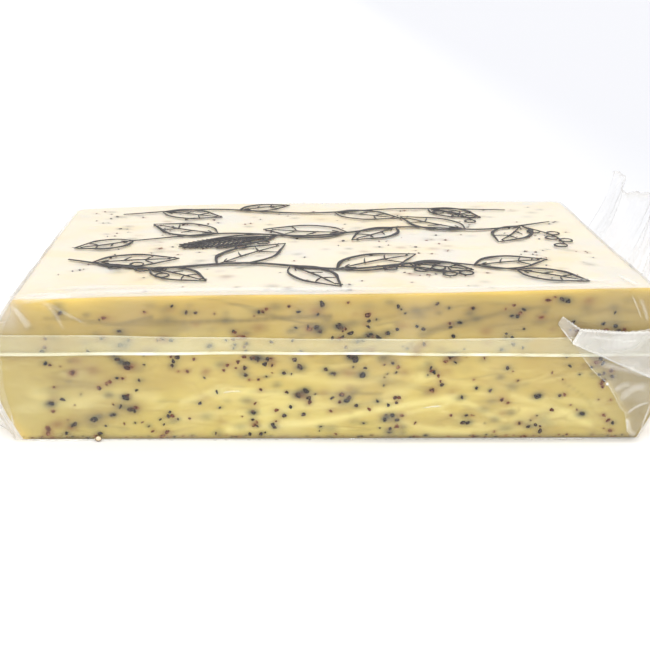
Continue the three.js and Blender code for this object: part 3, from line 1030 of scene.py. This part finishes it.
def film_piece(name, places, faces, haze, material, node):
    return mesh_piece(name, places, faces, material, node, {"haze": haze})


def pushed(grid, path, amount):
    """A sheet pushed off the block by an amount: forwards from the cut face, sideways from the heels."""
    on_cut = np.abs(path) <= HALF_LENGTH
    on_heel = ~on_cut & (np.abs(path) < ARC_START)
    grid[..., 1] -= np.where(on_cut, amount, 0)
    grid[..., 0] += np.where(on_heel, np.sign(path) * amount, 0)
    return grid


def skin_piece(material):
    """The tight film round the block, with shallow tension folds that run in from both ends."""
    levels = np.linspace(0, 1, 46)
    shrinks = np.linspace(0.99, 0.02, 44)
    path, rings, centres = block_places(1.9, levels, shrinks, SKIN_GAP, 0.0)
    count, around = rings.shape[:2]
    ends = np.exp(-(HALF_LENGTH + 8 - np.abs(rings[..., 0])) / 34)
    folds = 0.1 * ripple(rings * np.array([0.5, 1.0, 1.0]), 16.0, 21)
    folds += ends * 0.2 * np.abs(ripple(rings * np.array([0.4, 1.0, 1.3]), 11.0, 22))
    side = len(levels)
    fade = smoothstep(np.linspace(0, 1, side)[:, None], 0.0, 0.06)
    rings[:side] = pushed(rings[:side], path, folds[:side] * fade)
    rings[side:, :, 2] += folds[side:]
    haze = 0.01 + 0.02 * np.clip(ripple(rings, 26.0, 23), 0, 2) + 0.04 * ends
    wall = rings[:side]
    on_heel = np.abs(path) > HALF_LENGTH
    left_corner = smoothstep(-wall[..., 0], 129, 138)
    haze[:side] += np.where(on_heel, 0.25, 0.25 * left_corner) * smoothstep(wall[..., 2], 45, 60)
    # Painted highlight: the film is milkier along the top's front edge, where it curves over and catches
    # light
    front_edge_sheen = np.exp(-(rings[side:, :, 1] - FRONT) / 9.0)
    haze[side:] += 0.02 + 0.3 * front_edge_sheen
    places = np.concatenate([rings.reshape(-1, 3), centres])
    haze = np.append(haze.ravel(), [0.02, 0.03])
    return film_piece("film_skin", places, ring_faces(count, around), haze, material, "cheese")


# The lap seam, whose lower edge lies 0.4 mm under the solid's, where its lip shows
SEAM_HEIGHT = 40.2
SEAM_WIDTH = 8.4
SEAM_REACH = 163.0
SEAM_SWAY = 0.4
SEAM_NARROWING = 1.1
LIP_RADIUS = 0.62


def along_x(x):
    """Places on the x axis, for a ripple that runs along a line."""
    return np.stack([x, 0 * x, 0 * x], -1)


def seam_piece(material):
    """The lap seam: a flat band of film with a rolled lower lip."""
    path = np.linspace(-SEAM_REACH, SEAM_REACH, 420)
    uneven = ripple(along_x(path), 14.0, 31)
    low = SEAM_HEIGHT + SEAM_SWAY * np.sin(path / 38 + 2.2) + 0.12 * np.sin(path / 9.0)
    width = SEAM_WIDTH - SEAM_NARROWING * np.cos(path / 46)
    rows, hazes = [], []
    for angle in np.linspace(0.75 * math.pi, -0.75 * math.pi, 9):
        out = SEAM_GAP + 0.05 + 0.8 * LIP_RADIUS * math.sin(angle)
        rows.append(wrap_point(path, low + LIP_RADIUS * (1 - math.cos(angle)), out))
        hazes.append(0.55 + 0.1 * uneven)
    band = np.linspace(0.2, 1.0, 6)
    outer = [(share, SEAM_GAP + 0.02, 0.36 if share == 1 else 0.21) for share in band]
    inner = [(share, SEAM_GAP - 0.16, 0.05) for share in band[::-1]]
    for share, out, haze in outer + inner:
        rows.append(wrap_point(path, low + width * share, out + 0.1 * uneven * (share - 0.2)))
        hazes.append(np.full_like(path, haze))
    places = np.array(rows).reshape(-1, 3)
    faces = loft_faces(len(rows), len(path))
    under_tails = 1 - 0.85 * smoothstep(np.abs(path), 139, SEAM_REACH - 3)
    haze = (np.array(hazes) * under_tails).ravel()
    return film_piece("film_seam_band", places, faces, haze, material, "film_seam")


# Outlines of the folded tails, as (distance along the block's outline, height) places
EAR_TIP = 94.3
TAIL_END = ARC_START + 2
EAR_LOW_EDGE = [
    (EAR_TIP, 54.8), (101.2, 46.6), (110.8, 34.5), (117.7, 28.4), (122.5, 21.2), (126.5, 13.5),
    (128.2, 4.7), (131, 1), (132, 9), (133, 21), (141, 17), (190, 13), (TAIL_END, 16),
]
EAR_HIGH_EDGE = [
    (EAR_TIP, 55.6), (96, 58.6), (99, 56.4), (104.1, 53.1), (113.3, 52.2), (124.2, 51.7),
    (129.5, 53), (136, 52.4), (180, 58), (TAIL_END, 60),
]
FOLD_START = 101.0
FOLD_END = 170.0
FOLD_LOW_EDGE = [(FOLD_START, 46.6), (125, 35.9), (128.6, 32.2), (130.6, 30.3), (150, 24), (FOLD_END, 30)]
FOLD_HIGH_EDGE = [(FOLD_START, 47.4), (103.6, 53.2), (112, 52.9), (124, 51.9), (136, 52.6), (FOLD_END, 56)]
# How the right tail stands off its heel and the left tail's foot spreads: the distances along the outline
# where that starts and is full, how far, and the length and height of its waves
FLARE = {"start": 175, "full": 222, "rise": 27, "lean": 20, "wave": 3.2, "length": 7.3, "pleat": 9.5}
SKIRT = {"start": 136, "full": 152, "lean": 11, "wave": 2.4, "length": 8.1, "pleat": 8.3}
SHEET = 0.14
TEETH_PITCH = 1.5
TEETH = 0.6


def film_sheet(name, grid, haze, material, node):
    places, faces = sheet_mesh(grid, SHEET)
    haze = np.clip(np.broadcast_to(haze, grid.shape[:2]), 0, 1).ravel()
    return film_piece(name, places, faces, np.tile(haze, 2), material, node)


def half_wrap_path(start, end, front_steps, heel_steps):
    """Distances along the outline from the cut face on round a heel, with steps of their own on each."""
    front = np.linspace(start, HALF_LENGTH, front_steps, endpoint=False)
    return np.append(front, np.linspace(HALF_LENGTH, end, heel_steps))


def edge_haze(up, at_low, at_high):
    """The extra milkiness along the lower and upper edge of a sheet."""
    return at_low * np.exp(-up * 30) + at_high * np.exp(-(1 - up) * 30)


def sheet_between(path, low, high, rows, gap):
    """A grid between two edges, and how far up it each row lies."""
    up = np.linspace(0, 1, rows)[:, None]
    height = lerp(low[None, :], high[None, :], up)
    return wrap_point(np.broadcast_to(path, height.shape), height, gap), up


def right_tail_piece(material):
    """The right tail's film, from the tip of its ear on the cut face to the pleats that stand free."""
    path = half_wrap_path(EAR_TIP, TAIL_END, 130, 300)
    high = along(EAR_HIGH_EDGE, path) + TEETH * zigzag(path / TEETH_PITCH) * smoothstep(path, 96, 98)
    grid, up = sheet_between(path, along(EAR_LOW_EDGE, path), high, 34, TAIL_GAP)
    free = smoothstep(path, FLARE["start"], FLARE["full"])[None, :] * smoothstep(up, 0.45, 1)
    wave = FLARE["wave"] * np.sin(path / FLARE["length"])[None, :] * free
    pleat = free * (1.1 * zigzag(path / FLARE["pleat"] + 0.35 * up) + 0.5 * ripple(grid, 9.0, 41))
    grid[..., 0] += FLARE["lean"] * free + wave + pleat
    grid[..., 2] += FLARE["rise"] * free + 0.6 * wave + 0.5 * pleat
    hug = (1 - free) * smoothstep(np.minimum(up, 1 - up), 0.0, 0.09)
    crumple = 0.35 * np.abs(ripple(grid * np.array([1.0, 1.0, 0.7]), 9.0, 43))
    crumple = crumple + 0.14 * ripple(grid, 3.5, 44)
    grid = pushed(grid, path, hug * crumple)
    haze = 0.015 + 0.035 * np.clip(ripple(grid, 12.0, 45), 0, 2) + edge_haze(up, 0.05, 0.25)
    haze = haze + 0.10 * (1 - smoothstep(path, 99, 104))[None, :]
    return film_sheet("film_tail_right_sheet", grid, haze, material, "film_tail_right")


def ear_fold_piece(material):
    """The layer that is folded back over the top of the ear, milky where the film lies double."""
    path = half_wrap_path(FOLD_START, FOLD_END, 120, 70)
    teeth = TEETH * zigzag(path / TEETH_PITCH + 0.3)
    high = along(FOLD_HIGH_EDGE, path) + np.where(path > 103.6, teeth, 0)
    grid, up = sheet_between(path, along(FOLD_LOW_EDGE, path), high, 26, LAYER_GAP)
    lift = 0.7 * np.exp(-up * 9) + 0.3 * np.abs(ripple(grid, 13.0, 51)) + 0.08 * ripple(grid, 3.0, 52)
    grid = pushed(grid, path, lift)
    haze = 0.29 + 0.07 * ripple(grid, 14.0, 53) + edge_haze(up, 0.25, 0.3)
    haze = haze + 0.4 * np.exp(-(path - FOLD_START) / 1.2)[None, :]
    haze = haze * lerp(1.0, 0.25, smoothstep(path, 145, 168))[None, :]
    return film_sheet("film_ear_fold", grid, haze, material, "film_tail_right")


def left_tail_piece(material):
    """The left tail's film, folded flat against its heel, with its foot spread over the floor."""
    path = np.linspace(TAIL_END, HALF_LENGTH - 3, 300)
    low = FLOOR_GAP + 0.5 + 0.5 * (zigzag(path / TEETH_PITCH) + 0.5)
    grid, up = sheet_between(-path, low, 57 + 2 * np.sin(path / 13), 34, TAIL_GAP)
    free = smoothstep(path, SKIRT["start"], SKIRT["full"])[None, :] * (1 - smoothstep(up, 0, 0.55))
    wave = SKIRT["wave"] * np.sin(path / SKIRT["length"])
    grid[..., 0] -= free * (SKIRT["lean"] + wave + 0.9 * zigzag(path / SKIRT["pleat"] + 0.3 * up))
    crumple = 0.35 * np.abs(ripple(grid, 10.0, 61)) + 0.12 * ripple(grid, 3.5, 62)
    grid[..., 0] -= crumple * smoothstep(1 - up, 0.0, 0.1)
    haze = 0.03 + 0.05 * np.clip(ripple(grid, 12.0, 63), 0, 2) + edge_haze(up, 0.2, 0.08)
    haze = haze * lerp(0.4, 1.0, smoothstep(path, 134, 142))[None, :]
    # Milkier patches over the spread foot: partly crumpled film, partly painted highlights on its pleats
    crumple_and_sheen = np.clip(ripple(grid * np.array([1.0, 1.2, 0.45]), 8.0, 64), 0, 2)
    haze = haze + 0.06 * crumple_and_sheen * smoothstep(path, 150, 180)[None, :]
    return film_sheet("film_tail_left_sheet", grid, haze, material, "film_tail_left")


def tube_mesh(line, radius, sides):
    """Places and faces of a closed tube with a radius at each place of its line."""
    ahead = np.gradient(line, axis=0)
    ahead /= np.linalg.norm(ahead, axis=1, keepdims=True)
    aside = np.cross(ahead, np.array([0, 0, 1.0]))
    aside /= np.linalg.norm(aside, axis=1, keepdims=True)
    over = np.cross(aside, ahead)
    angles = np.linspace(0, 2 * math.pi, sides, endpoint=False)
    rows = np.array([line + radius[:, None] * (aside * math.cos(a) + over * math.sin(a)) for a in angles])
    return rows.reshape(-1, 3), loft_faces(sides, len(line))


def base_fold_piece(material):
    """The crinkled fold of film along the foot of the cut face, with a painted highlight where it catches
    light towards the left and a fainter one further right.
    """
    sides = 7
    x = np.linspace(-134, 133, 520)
    rough = ripple(along_x(x), 9.0, 71)
    finer = ripple(along_x(x), 2.6, 72)
    left_glint = smoothstep(x, -132, -128) * (1 - smoothstep(x, -112, -100))
    # Painted highlight: the fold is milkier and thicker where it catches light
    bright = left_glint + 0.4 * bell(x, 95, 16)
    radius = np.clip(0.2 + 0.15 * bright + 0.05 * rough + 0.04 * finer, 0.1, 0.5)
    height = np.maximum(0.55 + (0.16 * rough + 0.1 * finer) * (1 - bright), radius + 0.05)
    places, faces = tube_mesh(np.stack([x, FRONT - 1.1 - 0.2 * finer, height], -1), radius, sides)
    haze = np.clip(0.02 + 0.75 * bright + 0.05 * rough + 0.1 * finer, 0.0, 0.95)
    return film_piece("film_base_fold", places, faces, np.tile(haze, sides), material, "cheese")


# Painted highlights along creases, where folds of film catch light, each with its places, a width at each
# end and a strength. On the cut face the places are (x, height) and on the top they are (x, y).
FRONT_CREASES = [
    ([(-135, 62.6), (-131.5, 57.4), (-128, 51.8)], 1.2, 3.0, 0.2),
    ([(-127, 65.4), (-119, 62), (-111, 57.6), (-103.5, 53.2)], 2.0, 1.0, 0.09),
    ([(-123, 64.2), (-118.5, 60), (-115.6, 54.6), (-114.6, 50.6)], 2.2, 0.9, 0.09),
    ([(-133, 64.4), (-126, 64.8), (-117, 66.0), (-108, 66.2)], 2.8, 1.0, 0.25),
    ([(124.8, 68.4), (127.4, 63.4), (130.6, 57.0)], 0.7, 0.5, 0.16),
    ([(128.5, 67), (131.5, 61), (133.4, 55.4)], 1.6, 1.0, 0.14),
    ([(-143, 30), (-144, 18), (-141, 6)], 0.8, 1.4, 0.3),
    ([(-139, 14), (-138.5, 7), (-136, 1.5)], 0.6, 1.2, 0.25),
    ([(-49, 22.9), (-44, 23.6), (-40, 23.4)], 0.7, 0.6, 0.28),
    ([(38, 15.4), (42, 16.2), (47, 16.6)], 0.5, 0.8, 0.28),
]
EAR_CREASES = [
    ([(94.6, 54.6), (98, 50.6), (101.4, 46.6)], 0.5, 0.5, 0.35),
    ([(101.4, 46.6), (110.8, 34.7), (117.7, 28.6), (122.5, 21.4), (127.6, 13.6)], 0.5, 0.4, 0.12),
    ([(117.1, 28.8), (117.7, 28.4), (118.2, 27.6)], 1.1, 1.0, 1.0),
    ([(96.0, 58.6), (99, 56.5), (104.1, 53.2), (113.3, 52.3), (124.2, 51.8), (134.0, 53.0)], 0.6, 0.6, 0.4),
    ([(101.2, 46.8), (102.6, 50), (104.6, 53.0)], 0.8, 0.6, 0.4),
    ([(127.8, 13.6), (130.4, 16.4), (134, 18.6), (138.4, 19.4)], 1.2, 0.9, 0.22),
    ([(124, 19), (126, 23), (130, 26.5), (137, 27)], 2.6, 3.4, 0.16),
    ([(120.6, 24.4), (124, 27), (128.4, 28.6)], 2.0, 2.6, 0.14),
    ([(112, 38.4), (120, 36.2), (128, 34.6), (136, 31.6)], 2.6, 2.0, 0.14),
    ([(128.6, 12.5), (129.6, 8), (131.4, 5), (134, 4.4)], 1.8, 1.4, 0.2),
    ([(129.4, 4.6), (129.0, 8), (128.4, 12.6)], 0.7, 0.6, 0.25),
    ([(133.5, 1), (134.8, 4.2), (136.8, 13.5), (138.9, 22.2)], 0.7, 0.7, 0.25),
    ([(104, 50.4), (113, 49.6), (124, 48.2), (134, 48.8)], 0.6, 0.9, 0.14),
]
TOP_CREASES = [
    ([(-124, -76.4), (-70, -75.0), (0, -75.4), (40, -76.0)], 5.0, 4.0, 0.3),
    ([(30, -76.6), (80, -76.2), (122, -77)], 2.4, 2.0, 0.22),
    ([(-128, -70), (-100, -68), (-60, -69.5)], 5.0, 3.0, 0.14),
    ([(-131, -78), (-122, -76), (-112, -78)], 4.2, 2.4, 0.35),
    ([(124.5, -62), (126.4, -71), (128.5, -79.6)], 1.0, 3.0, 0.4),
    ([(88, -71), (105, -69), (122, -72)], 2.6, 3.6, 0.16),
]
# Painted highlights on the gusset folds of the left tail, as (distance along the outline, height) places
# on the heel
LEFT_TAIL_CREASES = [
    ([(146, 56), (168, 45), (192, 34)], 1.4, 2.4, 0.42),
    ([(284, 56), (262, 45), (238, 34)], 1.4, 2.4, 0.42),
    ([(192, 34), (215, 33), (238, 34)], 1.8, 1.8, 0.45),
    ([(156, 57), (190, 52), (228, 54)], 1.6, 2.6, 0.28),
    ([(203, 56), (213, 46), (216, 36)], 2.2, 1.0, 0.26),
    ([(247, 57), (237, 47), (229, 37)], 2.0, 1.0, 0.26),
    ([(178, 50), (186, 43), (198, 38)], 1.4, 0.9, 0.22),
    ([(262, 54), (255, 48), (244, 40)], 1.4, 0.9, 0.22),
]
# Painted highlights on folds that run in from one end of the back, as (distance from its corner, height)
# places
BACK_CREASES = [
    ([(2, 60), (18, 54), (47, 50)], 3.4, 1.6, 0.18),
    ([(1, 50), (12, 44), (24, 42)], 2.0, 1.0, 0.16),
    ([(1, 36), (26, 34), (70, 38)], 2.6, 1.2, 0.13),
    ([(1, 24), (14, 28), (32, 30)], 3.2, 1.2, 0.13),
    ([(2, 8), (16, 15), (40, 20)], 2.2, 1.0, 0.18),
]
CREASE_PROFILE = [(-1.0, 0.0), (-0.5, 0.62), (0.0, 1.0), (0.5, 0.62), (1.0, 0.0)]
CREASE_STEPS = 40
CREASE_SPREAD = 1.6


def on_front(x, height, gap):
    """Places on the front, where the path stretches as it bends to a heel."""
    share = np.clip(height / top_height(x, FRONT), 0, 1)
    stretch = 1 + (heel_swell(share) + gap) / BEND_LENGTH
    far = np.abs(x)
    path = np.sign(x) * (np.minimum(far, BEND_START) + np.maximum(far - BEND_START, 0) / stretch)
    return wrap_point(path, height, gap)


def on_left_heel(distance, height, gap):
    return wrap_point(-distance, height, gap)


def on_back_left(distance, height, gap):
    return wrap_point(-ARC_END - distance, height, gap)


def on_back_right(distance, height, gap):
    return wrap_point(ARC_END + 1.3 * distance, 0.88 * height + 6, gap)


def crease_rows(crease, gap, place):
    """The rows of places round one crease's ribbon, and how strongly each shows its painted highlight."""
    points, first, last, most = crease
    line = smooth_line(points, CREASE_STEPS)
    t = np.linspace(0, 1, CREASE_STEPS)
    ahead = np.gradient(line, axis=0)
    ahead /= np.linalg.norm(ahead, axis=1, keepdims=True)
    half_width = CREASE_SPREAD * lerp(first, last, t) / 2
    aside = np.stack([-ahead[:, 1], ahead[:, 0]], -1) * half_width[:, None]
    fade = smoothstep(np.minimum(t, 1 - t), 0, 0.25)
    outer = [(across, strength, gap + 0.1) for across, strength in CREASE_PROFILE]
    inner = [(across, strength, gap) for across, strength in reversed(CREASE_PROFILE)]
    rows, hazes = [], []
    for across, strength, lift in outer + inner:
        u, v = (line + aside * across).T
        rows.append(place(u, v, lift))
        hazes.append(most * strength * fade)
    return rows, hazes


def crease_highlights_piece(material):
    """All the painted highlights along creases, each a thin closed ribbon that lies just outside the film.
    """
    groups = [
        (FRONT_CREASES, OVER_SKIN, on_front),
        (EAR_CREASES, OVER_LAYER, on_front),
        (TOP_CREASES, OVER_SKIN, on_top),
        (LEFT_TAIL_CREASES, OVER_TAIL, on_left_heel),
        (BACK_CREASES, OVER_SKIN, on_back_left),
        (BACK_CREASES, OVER_SKIN, on_back_right),
    ]
    places, hazes, faces = [], [], []
    for creases, gap, place in groups:
        for crease in creases:
            rows, haze = crease_rows(crease, gap, place)
            faces += loft_faces(len(rows), CREASE_STEPS, len(places) * CREASE_STEPS)
            places += rows
            hazes += haze
    haze = np.concatenate(hazes)
    return film_piece("film_crease_highlights", np.concatenate(places), faces, haze, material, "cheese")


def droplet_piece(material):
    """A bead of whey at the foot of the cut face."""
    ball, faces = unit_lump(3)
    places = ball * np.array([1.5, 1.0, 1.35]) + np.array([-102.6, FRONT - 1.6, 1.4])
    return mesh_piece("whey_droplet", places, faces.tolist(), material, "cheese")


# Stage

def build_stage():
    """A floor with white light from all round, a little brighter from above."""
    half = 6.0
    corners = [(-half, -half, 0), (half, -half, 0), (half, half, 0), (-half, half, 0)]
    mesh = bpy.data.meshes.new("floor")
    mesh.from_pydata(corners, [], [(0, 1, 2, 3)])
    floor = bpy.data.objects.new("floor", mesh)
    bpy.context.scene.collection.objects.link(floor)
    mesh.materials.append(floor_material())
    world = bpy.data.worlds.new("white_room")
    bpy.context.scene.world = world
    world.use_nodes = True
    tree = world.node_tree
    tree.nodes.clear()
    way = add(tree, "SeparateXYZ", {0: add(tree, "TexCoord").outputs["Generated"]}).outputs["Z"]
    sky = blend(tree, spread(tree, way, 0.0, 0.8), (0.86, 0.86, 0.86, 1), (1.3, 1.3, 1.3, 1))
    light = add(tree, "Background", {"Color": sky, "Strength": 0.84})
    add(tree, "OutputWorld", {"Surface": light.outputs[0]})


def sun(name, strength, elevation, azimuth, spread_angle):
    lamp = bpy.data.lights.new(name, "SUN")
    lamp.energy = strength
    lamp.angle = math.radians(spread_angle)
    lit = bpy.data.objects.new(name, lamp)
    bpy.context.scene.collection.objects.link(lit)
    lit.rotation_euler = Euler((math.radians(90 - elevation), 0, math.radians(azimuth)), "XYZ")


# The photo's view: the camera's place in millimetres, its turns in radians and its focal length in pixels
CAMERA_PLACE = (-27.1676, -498.2612, 204.0224)
CAMERA_YAW = -0.0530
CAMERA_PITCH = 0.3452
CAMERA_ROLL = 0.0207
FOCAL_PIXELS = 1050.0
PHOTO_WIDTH = 650.0


def build_camera():
    data = bpy.data.cameras.new("camera")
    data.sensor_width = 36.0
    data.lens = FOCAL_PIXELS * data.sensor_width / PHOTO_WIDTH
    data.clip_start = 0.01
    data.clip_end = 50
    camera = bpy.data.objects.new("camera", data)
    bpy.context.scene.collection.objects.link(camera)
    camera.location = Vector(CAMERA_PLACE) * MM
    turn = Euler((math.pi / 2 - CAMERA_PITCH, 0, CAMERA_YAW), "XYZ").to_matrix()
    camera.rotation_euler = (turn @ Matrix.Rotation(CAMERA_ROLL, 3, "Z")).to_euler()
    bpy.context.scene.camera = camera


def main():
    build_camera()
    build_stage()
    sun("front_window", 1.05, 50, 0, 60)
    pepper_and_cheese()
    print_piece()
    clear = film_material("film_clear", FILM_CLEAR, 0.06, 0.55, 0.4, 60.0)
    lapped = film_material("film_lapped", FILM_LAPPED, 0.15, 0.6, 0.5, 90.0)
    # The folded film's greyer tint is painted shade
    folded = film_material("film_folded_shaded", FILM_FOLDED_SHADED, 0.12, 0.9, 0.22, 140.0)
    skin_piece(clear)
    seam_piece(lapped)
    right_tail_piece(folded)
    ear_fold_piece(folded)
    left_tail_piece(folded)
    base_fold_piece(folded)
    crease_highlights_piece(highlight_material())
    droplet_piece(whey_material())
    scene = bpy.context.scene
    scene.view_settings.view_transform = "Standard"
    scene.view_settings.look = "None"
    scene.cycles.transparent_max_bounces = 32


main()
